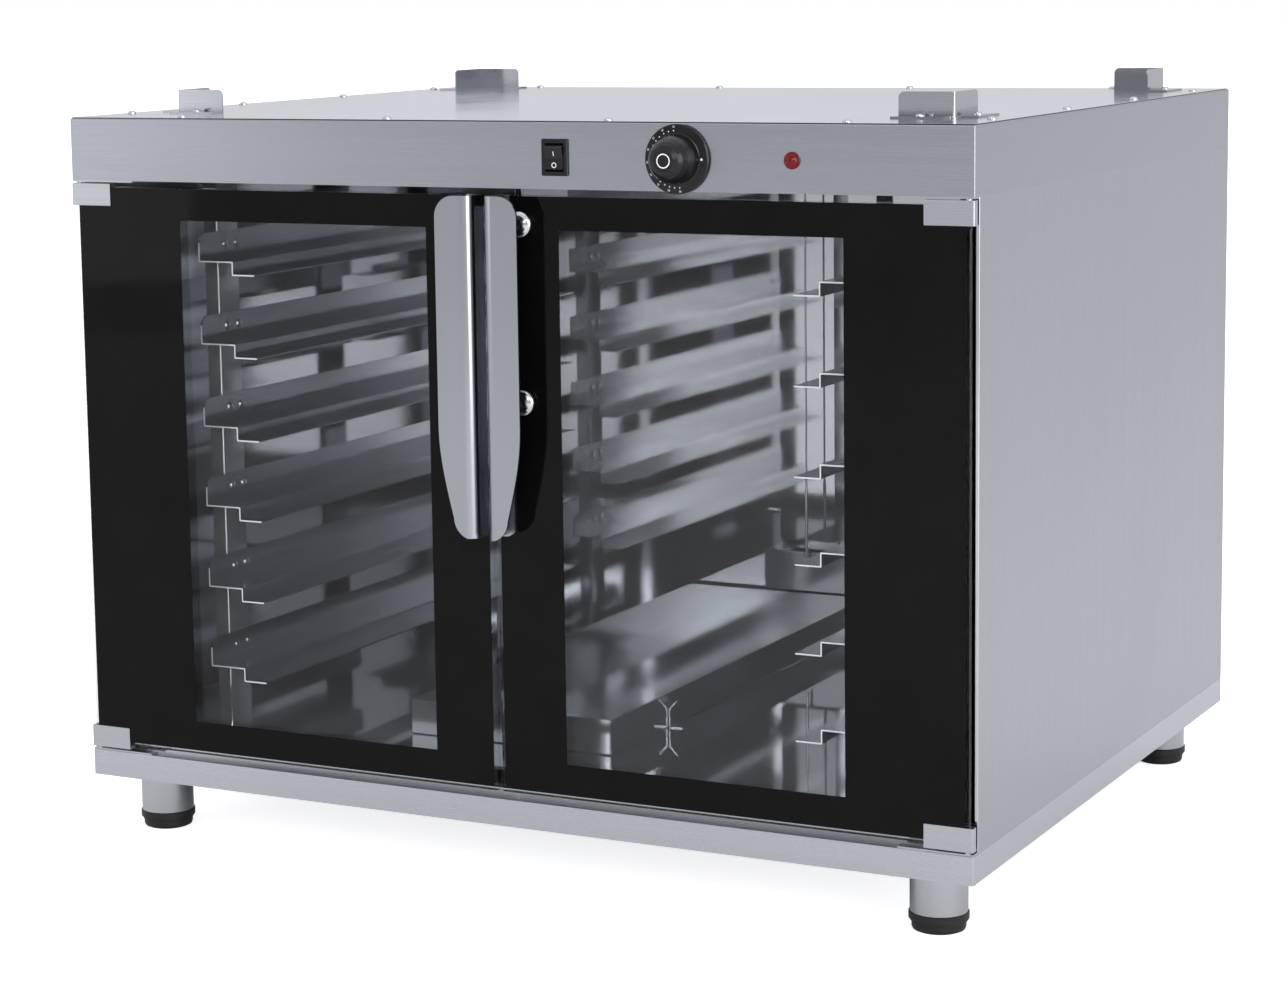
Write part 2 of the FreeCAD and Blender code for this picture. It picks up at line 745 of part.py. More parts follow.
def foot(x, y):
    """Turned plastic foot: pad, groove, ring and the spigot inside the leg tube."""
    pad = foot_pad_radius
    section = [
        (0, 0), (pad - 3.0, 0), (pad - 0.9, 0.9), (pad, 3.0), (pad, foot_pad_height),
        (foot_groove_radius, foot_pad_height + 0.6), (foot_groove_radius, foot_ring_bottom),
        (foot_ring_radius, foot_ring_bottom + 0.8), (foot_ring_radius, foot_height - 0.8),
        (foot_ring_radius - 0.8, foot_height), (spigot_radius, foot_height),
        (spigot_radius, foot_height + spigot_length - 1.0), (spigot_radius - 1.0, foot_height + spigot_length),
        (0, foot_height + spigot_length),
    ]
    return turned(section, (x, y, 0), (0, 0, 1))


def switch_housing():
    """Switch bezel and body with the cavity the rocker tilts in."""
    half_w = switch_width / 2.0
    half_h = switch_height / 2.0
    bezel = block(switch_x - half_w, switch_x + half_w, front_y - switch_rim, front_y,
                  control_z - half_h, control_z + half_h)
    bezel = bezel.makeFillet(1.0, [e for e in bezel.Edges if e.BoundBox.YLength > 1.0])
    bezel = bezel.makeChamfer(0.5, [e for e in bezel.Edges if abs(e.BoundBox.YMax - front_y + switch_rim) < 0.01])
    half_bw = switch_body_width / 2.0
    half_bh = switch_body_height / 2.0
    body = block(switch_x - half_bw, switch_x + half_bw, front_y, front_y + switch_body_depth,
                 control_z - half_bh, control_z + half_bh)
    cavity_w = rocker_half_width + rocker_gap
    cavity_h = rocker_radius + rocker_gap
    cavity = block(switch_x - cavity_w, switch_x + cavity_w, front_y - switch_rim - 1.0,
                   front_y + rocker_pivot_depth + rocker_radius, control_z - cavity_h, control_z + cavity_h)
    pivot_y = front_y + rocker_pivot_depth
    reach = rocker_half_width + rocker_pin_length + 0.2
    pin_hole = rod(rocker_pin_radius + pivot_clearance, (switch_x - reach, pivot_y, control_z),
                   (switch_x + reach, pivot_y, control_z))
    return bezel.fuse(body).removeSplitter().cut([cavity, pin_hole])


def rocker():
    """Rocker with two sloping halves, resting with its lower half pressed in."""
    pivot_y = front_y + rocker_pivot_depth
    drum = rod(rocker_radius, (switch_x - rocker_half_width, pivot_y, control_z),
               (switch_x + rocker_half_width, pivot_y, control_z))
    slope = math.tan(math.radians(rocker_tilt))
    r = rocker_radius + 1.0
    face = front_y - rocker_face
    ahead = face - r
    x0 = switch_x - rocker_half_width - 1.0
    waste = prism([(x0, face, control_z), (x0, face - slope * r, control_z + r), (x0, ahead, control_z + r),
                   (x0, ahead, control_z - r), (x0, face - slope * r, control_z - r)],
                  (2.0 * rocker_half_width + 2.0, 0, 0))
    back = block(x0, x0 + 2.0 * rocker_half_width + 2.0, pivot_y + 5.0, pivot_y + 2.0 * r,
                 control_z - r, control_z + r)
    button = drum.cut([waste, back])
    reach = rocker_half_width + rocker_pin_length
    pin = rod(rocker_pin_radius, (switch_x - reach, pivot_y, control_z), (switch_x + reach, pivot_y, control_z))
    button = button.fuse(pin).removeSplitter()
    button.rotate(FreeCAD.Vector(switch_x, pivot_y, control_z), FreeCAD.Vector(1, 0, 0), rocker_tilt)
    return button


def knob():
    """Thermostat knob: flat dial skirt with a domed grip and the spindle behind it."""
    p = knob_projection
    grip = [(knob_base_radius, 4.2), (20.1, 9.0), (19.2, 14.0), (17.6, 19.0), (15.2, 23.2), (12.4, 26.2)]
    section = [(0, knob_gap), (knob_dial_radius - 1.0, knob_gap), (knob_dial_radius, knob_gap + 0.8),
               (knob_dial_radius, 2.6), (knob_dial_radius - 1.0, 3.4), (knob_base_radius + 1.0, 3.8)]
    section += grip
    section += [(knob_front_radius, p - 0.4), (knob_front_radius - 0.8, p), (0, p)]
    body = turned(section, (knob_x, front_y, control_z), (0, -1, 0))
    tail = front_y + sheet + 12.0
    spindle = rod(spindle_radius, (knob_x, front_y - 2.0, control_z), (knob_x, tail, control_z))
    return body.fuse(spindle).removeSplitter()


def thermostat_body():
    """Thermostat block behind the fascia with the bore its spindle turns in."""
    half = thermostat_size / 2.0
    near_y = front_y + sheet
    body = block(knob_x - half, knob_x + half, near_y, near_y + thermostat_depth,
                 control_z - half / 1.6, control_z + half / 1.6)
    body = body.makeFillet(1.5, [e for e in body.Edges if e.BoundBox.YLength > 1.0])
    bore = rod(spindle_radius + spindle_clearance, (knob_x, near_y - 1.0, control_z),
               (knob_x, near_y + 13.0, control_z))
    return body.cut(bore)


def indicator_lamp():
    """Round indicator lamp: rim, domed lens and the body through the fascia."""
    section = [(0, -lamp_body_depth), (lamp_body_radius - 0.6, -lamp_body_depth),
               (lamp_body_radius, -lamp_body_depth + 0.6), (lamp_body_radius, 0), (lamp_radius, 0),
               (lamp_radius, lamp_rim - 0.3), (lamp_radius - 0.4, lamp_rim)]
    for step in range(7):
        angle = math.radians(15.0 * step)
        radius = (lamp_radius - 1.1) * math.cos(angle)
        section.append((radius if step < 6 else 0, lamp_rim + (lamp_dome - lamp_rim) * math.sin(angle)))
    return turned(section, (lamp_x, front_y, control_z), (0, -1, 0))


def cable_gland():
    """Cable gland on the rear of the header: hexagonal body, domed cap and an open bore."""
    inside = rear_y - sheet - 8.0
    hexagonal = hexagon(gland_hex, (gland_x, rear_y, control_z), (0, 1, 0), 5.0)
    cap_section = [(0, 0), (gland_cap_radius, 0), (gland_cap_radius, 7.5), (gland_cap_radius - 1.2, 10.0),
                   (gland_bore + 1.2, 11.0), (0, 11.0)]
    cap = turned(cap_section, (gland_x, rear_y + 5.0, control_z), (0, 1, 0))
    tail = rod(gland_cap_radius, (gland_x, inside, control_z), (gland_x, rear_y, control_z))
    bore = rod(gland_bore, (gland_x, inside - 1.0, control_z), (gland_x, rear_y + 17.0, control_z))
    return hexagonal.fuse([cap, tail]).removeSplitter().cut(bore)


os.makedirs("parts", exist_ok=True)

save("base_frame", base_frame())
save("chamber_floor", chamber_floor())
save("side_panel_right", side_panel())
save("side_panel_left", mirror_x(side_panel()))
save("rear_panel", block(-half_width + sheet + sheet_gap, half_width - sheet - sheet_gap,
                         rear_inner_y, rear_y - sheet, base_top, header_bottom))
save("chamber_ceiling", block(-half_width + sheet + sheet_gap, half_width - sheet - sheet_gap,
                              front_y + sheet + sheet_gap, rear_y - sheet - sheet_gap,
                              ceiling_z, ceiling_z + sheet))
save("header_shell", header_shell())
save("top_panel", top_panel())
save("top_screws", top_screws())

for name, way in (("front", -1), ("rear", 1)):
    save("bracket_" + name + "_right", corner_bracket(way))
    save("bracket_" + name + "_left", mirror_x(corner_bracket(way)))
    save("upright_" + name + "_right", upright(way))
    save("upright_" + name + "_left", mirror_x(upright(way)))

for number, level in enumerate(runner_levels, start=1):
    save("runner_right_" + str(number), runner(level))
    save("runner_left_" + str(number), mirror_x(runner(level)))
save("runner_screws", runner_screws())

save("water_pan", water_pan())
save("pan_guides", group([pan_guide(pan_right_x, 1), pan_guide(pan_left_x, -1)]))
save("rear_duct", rear_duct())
save("heater_box", heater_box())
save("heating_element", heating_element())
save("thermostat_capillary", thermostat_capillary())

save("door_pivots", door_pivots())
save("magnet_catches", magnet_catches())
for side, turn in (("right", lambda shape: shape), ("left", mirror_x)):
    save("door_glass_" + side, turn(door_glass()))
    save("door_clips_" + side, turn(door_clips()))
    save("door_handle_" + side, turn(door_handle()))
    save("handle_bolts_" + side, turn(handle_bolts()))

for side, x in (("left", -half_width + leg_inset_x), ("right", half_width - leg_inset_x)):
    for end, y in (("front", front_y + leg_inset_y), ("rear", rear_y - leg_inset_y)):
        save("leg_tube_" + end + "_" + side, leg_tube(x, y))
        save("foot_" + end + "_" + side, foot(x, y))

save("switch_housing", switch_housing())
save("rocker", rocker())
save("knob", knob())
save("thermostat_body", thermostat_body())
save("indicator_lamp", indicator_lamp())
save("cable_gland", cable_gland())
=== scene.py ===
import bmesh
import bpy
import math
from mathutils import Matrix, Vector


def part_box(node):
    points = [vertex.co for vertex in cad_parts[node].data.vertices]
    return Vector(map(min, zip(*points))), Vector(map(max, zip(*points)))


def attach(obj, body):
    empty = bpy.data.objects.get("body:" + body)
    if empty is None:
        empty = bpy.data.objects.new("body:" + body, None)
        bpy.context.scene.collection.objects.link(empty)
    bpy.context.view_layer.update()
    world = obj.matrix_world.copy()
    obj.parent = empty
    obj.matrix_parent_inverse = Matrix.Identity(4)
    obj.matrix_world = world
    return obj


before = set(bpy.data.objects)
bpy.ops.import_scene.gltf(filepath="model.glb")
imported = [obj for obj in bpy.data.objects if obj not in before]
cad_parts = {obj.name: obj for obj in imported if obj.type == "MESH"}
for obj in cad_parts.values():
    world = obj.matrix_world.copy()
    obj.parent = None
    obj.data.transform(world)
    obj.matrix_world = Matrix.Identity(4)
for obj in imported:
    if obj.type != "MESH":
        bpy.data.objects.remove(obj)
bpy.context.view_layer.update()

MM = 0.001
X, Y, Z = 0, 1, 2
WHITE = (1.0, 1.0, 1.0)

# Door print, measured in from the edges of each pane
WINDOW_SIDES = {"left": (112 * MM, 59.5 * MM), "right": (63 * MM, 106 * MM)}
WINDOW_BOTTOM = 30 * MM
WINDOW_TOP = 28.5 * MM
CLEAR_MARGIN = 3 * MM
CLEAR_TOP = 0.6 * MM
PRINT_THICKNESS = 0.08 * MM

# Thermostat dial marks: radii from the knob axis, angles in degrees from the right, anticlockwise
DOT_RADIUS = 23.2 * MM
FIGURE_RADIUS = 26.2 * MM
DOT_SIZE = 0.55 * MM
DOT_FIRST = 95
DOT_STEP = 11.4
DOT_COUNT = 17
DIAL_BACK = 24.6 * MM
DIAL_EDGE = 27.5 * MM
DIAL_RISE = 0.4 / 6.0
OFF_DOT_RADIUS = 22.6 * MM
OFF_DOT_SIZE = 1.1 * MM
OFF_DOT_ANGLE = 0.0
FIGURE_HEIGHT = 2.2 * MM
FIGURE_EVERY = 2
SCALE_FIRST = 10
SCALE_STEP = 10
RING_OUTER = 6.0 * MM
RING_INNER = 5.0 * MM
RING_WHITE = (0.70, 0.70, 0.71)
MARK_DEPTH = 0.06 * MM
RING_PARTS = 40
DISC_PARTS = 16

# Rocker marks, from the valley between its two halves
ROCKER_LOWER_DEPTH = 2.53 * MM
ROCKER_VALLEY_DROP = 0.78 * MM
ROCKER_SLOPE = 16.0
STROKE_RISE = 4.2 * MM
STROKE_WIDE = 0.7 * MM
STROKE_TALL = 3.8 * MM
RING_DROP = 5.6 * MM
OFF_OUTER = 2.3 * MM
OFF_INNER = 1.6 * MM

# Brushed steel: noise scales across and along the grain, shares of the two noises, and limits
GRAIN_ACROSS = 2600.0
GRAIN_ALONG = 9.0
GRAIN_DETAIL = 3.0
GRAIN_ROUGHNESS = 0.6
BAND_ACROSS = 140.0
BAND_ALONG = 1.6
BAND_DETAIL = 2.0
GRAIN_SHARE = 0.45
BAND_SHARE = 0.55
COLOR_SPREAD = 0.025
DRIFT_SCALE = 5.0
DRIFT_DETAIL = 3.0
ROUGH_DRIFT = 0.02
ANISOTROPY = 0.35
GRAIN_DEPTH = 0.01 * MM
GRAIN_STRENGTH = 0.35

# Bright sheet: noise of its smears and slow waves, and the shade of a smear
SMEAR_SCALE = (9.0, 4.0, 14.0)
SMEAR_DETAIL = 5.0
SMEAR_ROUGHNESS = 0.65
SMEAR_SHADE = 0.94
WAVE_SCALE = (3.2, 2.1, 3.8)
WAVE_DETAIL = 1.0
LINER_METALLIC = 0.80

# Side sheet: how deep the outer finish reaches, and the inner face's roughness
SKIN_DEPTH = 0.6 * MM
SKIN_BLEND = 0.1 * MM
INNER_ROUGHNESS = 0.05

# Lid: depth of its bright face and the dark colour painted on its edge as the shadow line of the seam
# under it
EDGE_DEPTH = 0.05 * MM
# Painted shade: this near black stands for the shadow line along the lid's edge, not for the colour of the
# steel
LID_EDGE_PAINTED_SHADE = (0.05, 0.05, 0.055)

# Runners: colour and metallic share of the painted highlight on the front edge
# Painted highlight: near white standing for the bright glints on the runners' front edges
RUNNER_EDGE_PAINTED_HIGHLIGHT = (0.92, 0.93, 0.95)
RUNNER_EDGE_HIGHLIGHT_METALLIC = 0.25

# Moulded plastic: spark-eroded grain and slow clouding
SPARK_GRAIN = 900.0
FOOT_GRAIN = 500.0
SPARK_DEPTH = 0.03 * MM
SPARK_STRENGTH = 0.5
PLASTIC_CLOUD = 40.0
PLASTIC_DETAIL = 3.0
PLASTIC_GAIN = 1.25
PLASTIC_LIFT = 0.002
PLASTIC_SPECULAR = 0.3

# Glass, its print, the lamp lens and the ink
GLASS_CLOUD = 4.0
GLASS_DETAIL = 2.0
GLASS_DARK = (0.95, 0.96, 0.965)
GLASS_LIGHT = (0.965, 0.972, 0.975)
GLASS_SMEAR = (7.0, 7.0, 12.0)
GLASS_SMEAR_DETAIL = 4.0
GLASS_SMEAR_ROUGHNESS = 0.6
GLASS_ROUGH = (0.0, 0.01)
GLASS_IOR = 1.22
PRINT_CLOUD = 25.0
PRINT_DETAIL = 3.0
PRINT_DARK = (0.0022, 0.0022, 0.0024)
PRINT_LIGHT = (0.0032, 0.0032, 0.0034)
PRINT_SPECULAR = 0.10
PRINT_ROUGH = (0.03, 0.05)
LENS_BLEND = 0.4
LENS_FACE = (0.10, 0.0008, 0.0012)
# Painted sheen: the lighter rim red stands for the sheen where the lens turns away from the view
LENS_RIM_PAINTED_SHEEN = (0.20, 0.002, 0.003)
LENS_SPECULAR = 0.3
LENS_ROUGHNESS = 0.08
FLUTE_SCALE = 700.0
FLUTE_DETAIL = 1.0
FLUTE_DEPTH = 0.05 * MM
FLUTE_STRENGTH = 0.4
INK_CLOUD = 600.0
INK_DETAIL = 2.0
INK_DARK = (0.62, 0.62, 0.63)
INK_LIGHT = (0.78, 0.78, 0.79)
INK_ROUGHNESS = 0.5

# Camera: metres, degrees and millimetres of lens
CAMERA_PLACE = (1.26946, -2.61947, 0.77858)
CAMERA_AZIMUTH = 28.20
CAMERA_ELEVATION = 8.07
CAMERA_ROLL = 0.98
CAMERA_LENS = 86.98
CAMERA_SENSOR = 36.0
CAMERA_SHIFT = (0.0764, -0.0646)

# Studio walls: colours, and the stretch of each direction over which one wall turns into the next
WALL_FRONT_LEFT = (0.60, 0.61, 0.66)
WALL_FRONT_RIGHT = (0.12, 0.125, 0.14)
WALL_RIGHT = (1.90, 1.92, 1.98)
WALL_BACK = (0.56, 0.57, 0.61)
CEILING = (0.95, 0.95, 0.97)
TURN_LEFT = (-0.25, -0.75)
TURN_BACK = (-0.2, 0.7)
TURN_RIGHT = (0.55, 0.75)
TURN_UP = (-0.05, 0.45)

# Studio floor
FLOOR_COLOR = (0.93, 0.93, 0.93)
FLOOR_ROUGHNESS = 0.8
FLOOR_SPECULAR = 0.1
FLOOR_GLOW = 0.75
FLOOR_GLOW_REFLECTED = 0.0
FLOOR_RADIUS = 40.0
FLOOR_PARTS = 96
FLOOR_DROP = 0.2 * MM

# Studio lights: where each stands, the height on the vertical axis it faces, its size and its power
SOFTBOXES = {
    "softbox_right": {"place": (3.0, -2.0, 1.1), "facing_z": 0.35, "size": (1.8, 2.4), "power": 50.0},
    "softbox_front": {"place": (0.9, -3.6, 1.5), "facing_z": 0.35, "size": (1.6, 1.2), "power": 26.0},
    "softbox_left": {"place": (-3.2, -3.2, 1.1), "facing_z": 0.4, "size": (1.6, 2.0), "power": 9.0},
    "softbox_top": {"place": (0.0, 0.2, 3.2), "facing_z": 0.3, "size": (2.6, 2.6), "power": 8.0},
}


# ---------------------------------------------------------------- node helpers

def new_material(name):
    """A node material with its tree and its principled shader."""
    material = bpy.data.materials.new(name)
    material.use_nodes = True
    tree = material.node_tree
    return material, tree, tree.nodes["Principled BSDF"]


def feed(tree, entry, value):
    """Link an input to a socket, or set it to a number or a colour."""
    if isinstance(value, bpy.types.NodeSocket):
        tree.links.new(value, entry)
    elif isinstance(value, float):
        entry.default_value = value
    else:
        entry.default_value = (*value, 1.0)


def even(scale):
    """The same scale on every axis."""
    return (scale, scale, scale)


def stretched(tree, scale):
    """Object coordinates scaled by a different amount on each axis."""
    place = tree.nodes.new("ShaderNodeTexCoord")
    mapping = tree.nodes.new("ShaderNodeMapping")
    mapping.inputs["Scale"].default_value = scale
    tree.links.new(place.outputs["Object"], mapping.inputs["Vector"])
    return mapping.outputs["Vector"]


def noise(tree, scale, detail, roughness=0.5):
    """Noise over stretched object coordinates."""
    made = tree.nodes.new("ShaderNodeTexNoise")
    made.inputs["Scale"].default_value = 1.0
    made.inputs["Detail"].default_value = detail
    made.inputs["Roughness"].default_value = roughness
    tree.links.new(stretched(tree, scale), made.inputs["Vector"])
    return made.outputs["Fac"]


def ranged(tree, value, low, high, source_low=0.3, source_high=0.7):
    """The value mapped from one range to another, held at its ends."""
    made = tree.nodes.new("ShaderNodeMapRange")
    made.inputs["From Min"].default_value = source_low
    made.inputs["From Max"].default_value = source_high
    made.inputs["To Min"].default_value = low
    made.inputs["To Max"].default_value = high
    tree.links.new(value, made.inputs["Value"])
    return made.outputs["Result"]


def blended(tree, factor, first, second, kind="RGBA"):
    """Two colours, or two numbers for kind FLOAT, mixed by a factor; each is a socket or a fixed value."""
    made = tree.nodes.new("ShaderNodeMix")
    made.data_type = kind
    feed(tree, made.inputs["A"], first)
    feed(tree, made.inputs["B"], second)
    tree.links.new(factor, made.inputs["Factor"])
    return made.outputs["Result"]


def maths(tree, operation, *values):
    """A maths node over sockets and numbers."""
    made = tree.nodes.new("ShaderNodeMath")
    made.operation = operation
    for entry, value in zip(made.inputs, values):
        feed(tree, entry, value)
    return made.outputs[0]


def vector_maths(tree, operation, source, amount=None):
    """A vector maths node over a socket and, where one is given, a fixed vector."""
    made = tree.nodes.new("ShaderNodeVectorMath")
    made.operation = operation
    tree.links.new(source, made.inputs[0])
    if amount is not None:
        made.inputs[1].default_value = amount
    return made.outputs["Value" if operation == "LENGTH" else "Vector"]


def object_axis(tree, axis):
    """One of the object's own coordinates."""
    place = tree.nodes.new("ShaderNodeTexCoord")
    split = tree.nodes.new("ShaderNodeSeparateXYZ")
    tree.links.new(place.outputs["Object"], split.inputs[0])
    return split.outputs[axis]


def patched(tree, shader, key, mask, value):
    """Give a shader input a fixed colour or number where the mask is 1."""
    before = shader.inputs[key].links[0].from_socket
    kind = "FLOAT" if isinstance(value, float) else "RGBA"
    tree.links.new(blended(tree, mask, before, value, kind), shader.inputs[key])


def bumped(tree, shader, height, distance, strength=1.0):
    """A bump from a height value."""
    made = tree.nodes.new("ShaderNodeBump")
    made.inputs["Strength"].default_value = strength
    made.inputs["Distance"].default_value = distance
    tree.links.new(height, made.inputs["Height"])
    tree.links.new(made.outputs["Normal"], shader.inputs["Normal"])


# ---------------------------------------------------------------- materials

def brushed_steel(name, color, grain, rough):
    """Brushed stainless steel whose fine lines run along one axis."""
    material, tree, shader = new_material(name)
    fine = [GRAIN_ACROSS] * 3
    wide = [BAND_ACROSS] * 3
    fine[grain] = GRAIN_ALONG
    wide[grain] = BAND_ALONG
    lines = noise(tree, fine, GRAIN_DETAIL, GRAIN_ROUGHNESS)
    bands = noise(tree, wide, BAND_DETAIL)
    cloud = noise(tree, even(DRIFT_SCALE), DRIFT_DETAIL)
    dark = [c * (1.0 - COLOR_SPREAD) for c in color]
    light = [min(c * (1.0 + COLOR_SPREAD), 1.0) for c in color]
    weighed = maths(tree, "MULTIPLY_ADD", lines, GRAIN_SHARE, maths(tree, "MULTIPLY", bands, BAND_SHARE))
    tone = blended(tree, ranged(tree, weighed, 0.0, 1.0), dark, light)
    tree.links.new(tone, shader.inputs["Base Color"])
    shader.inputs["Metallic"].default_value = 1.0
    shader.inputs["Anisotropic"].default_value = ANISOTROPY
    drift = ranged(tree, cloud, -ROUGH_DRIFT, ROUGH_DRIFT)
    roughness = maths(tree, "ADD", ranged(tree, lines, *rough), drift)
    tree.links.new(roughness, shader.inputs["Roughness"])
    bumped(tree, shader, lines, GRAIN_DEPTH, GRAIN_STRENGTH)
    return material


def bright_steel(name, color, rough, wave=0.0, metallic=1.0):
    """Bright rolled stainless sheet: a near mirror with slow waves and faint smears."""
    material, tree, shader = new_material(name)
    smear = noise(tree, SMEAR_SCALE, SMEAR_DETAIL, SMEAR_ROUGHNESS)
    waves = noise(tree, WAVE_SCALE, WAVE_DETAIL)
    dark = [c * SMEAR_SHADE for c in color]
    tone = blended(tree, ranged(tree, smear, 0.0, 1.0), dark, color)
    tree.links.new(tone, shader.inputs["Base Color"])
    shader.inputs["Metallic"].default_value = metallic
    tree.links.new(ranged(tree, smear, *rough), shader.inputs["Roughness"])
    bumped(tree, shader, waves, wave)
    return material


def lid_steel(name, color, rough, wave):
    """Bright lid sheet whose edge all round is painted dark as the shadow line under it."""
    material = bright_steel(name, color, rough, wave)
    tree = material.node_tree
    shader = tree.nodes["Principled BSDF"]
    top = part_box("top_panel")[1][2]
    below = ranged(tree, object_axis(tree, "Z"), 1.0, 0.0, top - 2.0 * EDGE_DEPTH, top - EDGE_DEPTH)
    # Painted shade: everything below the bright face, the edge all round, takes the dark colour
    patched(tree, shader, "Base Color", below, LID_EDGE_PAINTED_SHADE)
    return material


def edged_steel(name, color, rough, edge_y):
    """Runner steel whose cut front edge is painted near white as a highlight."""
    material = brushed_steel(name, color, Y, rough)
    tree = material.node_tree
    shader = tree.nodes["Principled BSDF"]
    edge = ranged(tree, object_axis(tree, "Y"), 1.0, 0.0, edge_y + EDGE_DEPTH, edge_y + 2.0 * EDGE_DEPTH)
    # Painted highlight: the front edge band takes the near white colour and less metal
    patched(tree, shader, "Base Color", edge, RUNNER_EDGE_PAINTED_HIGHLIGHT)
    tree.links.new(ranged(tree, edge, 1.0, RUNNER_EDGE_HIGHLIGHT_METALLIC, 0.0, 1.0), shader.inputs["Metallic"])
    return material


def two_sided_steel(name, outside, inside, rough):
    """Side sheet: brushed on the outer face and a near mirror on the face towards the chamber."""
    material = brushed_steel(name, outside, Z, rough)
    tree = material.node_tree
    shader = tree.nodes["Principled BSDF"]
    distance = maths(tree, "ABSOLUTE", object_axis(tree, "X"))
    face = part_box("side_panel_right")[1][0] - SKIN_DEPTH
    inner = ranged(tree, distance, 1.0, 0.0, face, face + SKIN_BLEND)
    patched(tree, shader, "Base Color", inner, inside)
    patched(tree, shader, "Roughness", inner, INNER_ROUGHNESS)
    return material


def moulded_plastic(name, color, rough, grain=SPARK_GRAIN):
    """Moulded plastic with a fine spark-eroded grain."""
    material, tree, shader = new_material(name)
    speck = noise(tree, even(grain), PLASTIC_DETAIL)
    cloud = noise(tree, even(PLASTIC_CLOUD), PLASTIC_DETAIL)
    light = [min(c * PLASTIC_GAIN + PLASTIC_LIFT, 1.0) for c in color]
    tone = blended(tree, ranged(tree, cloud, 0.0, 1.0), color, light)
    tree.links.new(tone, shader.inputs["Base Color"])
    tree.links.new(ranged(tree, cloud, *rough), shader.inputs["Roughness"])
    shader.inputs["Specular IOR Level"].default_value = PLASTIC_SPECULAR
    bumped(tree, shader, speck, SPARK_DEPTH, SPARK_STRENGTH)
    return material


def middle(low, high):
    """The x and z half way between two corners."""
    return (low[0] + high[0]) / 2.0, (low[2] + high[2]) / 2.0


def ringed_plastic(name, color, rough):
    """The knob's black plastic with a plain white ring round the middle of its front."""
    material = moulded_plastic(name, color, rough)
    tree = material.node_tree
    shader = tree.nodes["Principled BSDF"]
    low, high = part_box("knob")
    x, z = middle(low, high)
    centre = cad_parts["knob"].matrix_world.inverted() @ Vector((x, 0.0, z))
    place = tree.nodes.new("ShaderNodeTexCoord")
    away = vector_maths(tree, "SUBTRACT", place.outputs["Object"], centre)
    flat = vector_maths(tree, "MULTIPLY", away, (1.0, 0.0, 1.0))
    reach = vector_maths(tree, "LENGTH", flat)
    band = maths(tree, "COMPARE", reach, (RING_OUTER + RING_INNER) / 2.0, (RING_OUTER - RING_INNER) / 2.0)
    patched(tree, shader, "Base Color", band, RING_WHITE)
    return material


def clear_glass(name):
    """Clear toughened glass: straight see-through with a Fresnel reflection and a faint cool tint."""
    material, tree, shader = new_material(name)
    tree.nodes.remove(shader)
    output = tree.nodes["Material Output"]
    through = tree.nodes.new("ShaderNodeBsdfTransparent")
    cloud = noise(tree, even(GLASS_CLOUD), GLASS_DETAIL)
    tree.links.new(blended(tree, cloud, GLASS_DARK, GLASS_LIGHT), through.inputs["Color"])
    gloss = tree.nodes.new("ShaderNodeBsdfGlossy")
    feed(tree, gloss.inputs["Color"], WHITE)
    smear = noise(tree, GLASS_SMEAR, GLASS_SMEAR_DETAIL, GLASS_SMEAR_ROUGHNESS)
    tree.links.new(ranged(tree, smear, *GLASS_ROUGH), gloss.inputs["Roughness"])
    fresnel = tree.nodes.new("ShaderNodeFresnel")
    fresnel.inputs["IOR"].default_value = GLASS_IOR
    mix = tree.nodes.new("ShaderNodeMixShader")
    tree.links.new(fresnel.outputs[0], mix.inputs[0])
    tree.links.new(through.outputs[0], mix.inputs[1])
    tree.links.new(gloss.outputs[0], mix.inputs[2])
    tree.links.new(mix.outputs[0], output.inputs["Surface"])
    return material


def printed_enamel(name):
    """Glossy black ceramic print on the glass."""
    material, tree, shader = new_material(name)
    cloud = noise(tree, even(PRINT_CLOUD), PRINT_DETAIL)
    tone = blended(tree, ranged(tree, cloud, 0.0, 1.0), PRINT_DARK, PRINT_LIGHT)
    tree.links.new(tone, shader.inputs["Base Color"])
    shader.inputs["Specular IOR Level"].default_value = PRINT_SPECULAR
    tree.links.new(ranged(tree, cloud, *PRINT_ROUGH), shader.inputs["Roughness"])
    return material


def lamp_lens(name):
    """Fluted red indicator lens, darker face on, with a painted sheen that makes it lighter where it turns
    away.
    """
    material, tree, shader = new_material(name)
    weight = tree.nodes.new("ShaderNodeLayerWeight")
    weight.inputs["Blend"].default_value = LENS_BLEND
    flutes = noise(tree, even(FLUTE_SCALE), FLUTE_DETAIL)
    # Painted sheen: the colour turns lighter towards the rim as the surface turns from the view
    tone = blended(tree, weight.outputs["Facing"], LENS_FACE, LENS_RIM_PAINTED_SHEEN)
    tree.links.new(tone, shader.inputs["Base Color"])
    shader.inputs["Specular IOR Level"].default_value = LENS_SPECULAR
    shader.inputs["Roughness"].default_value = LENS_ROUGHNESS
    bumped(tree, shader, flutes, FLUTE_DEPTH, FLUTE_STRENGTH)
    return material


def marking_ink(name):
    """White pad-printed ink."""
    material, tree, shader = new_material(name)
    cloud = noise(tree, even(INK_CLOUD), INK_DETAIL)
    tree.links.new(blended(tree, cloud, INK_DARK, INK_LIGHT), shader.inputs["Base Color"])
    shader.inputs["Roughness"].default_value = INK_ROUGHNESS
    return material


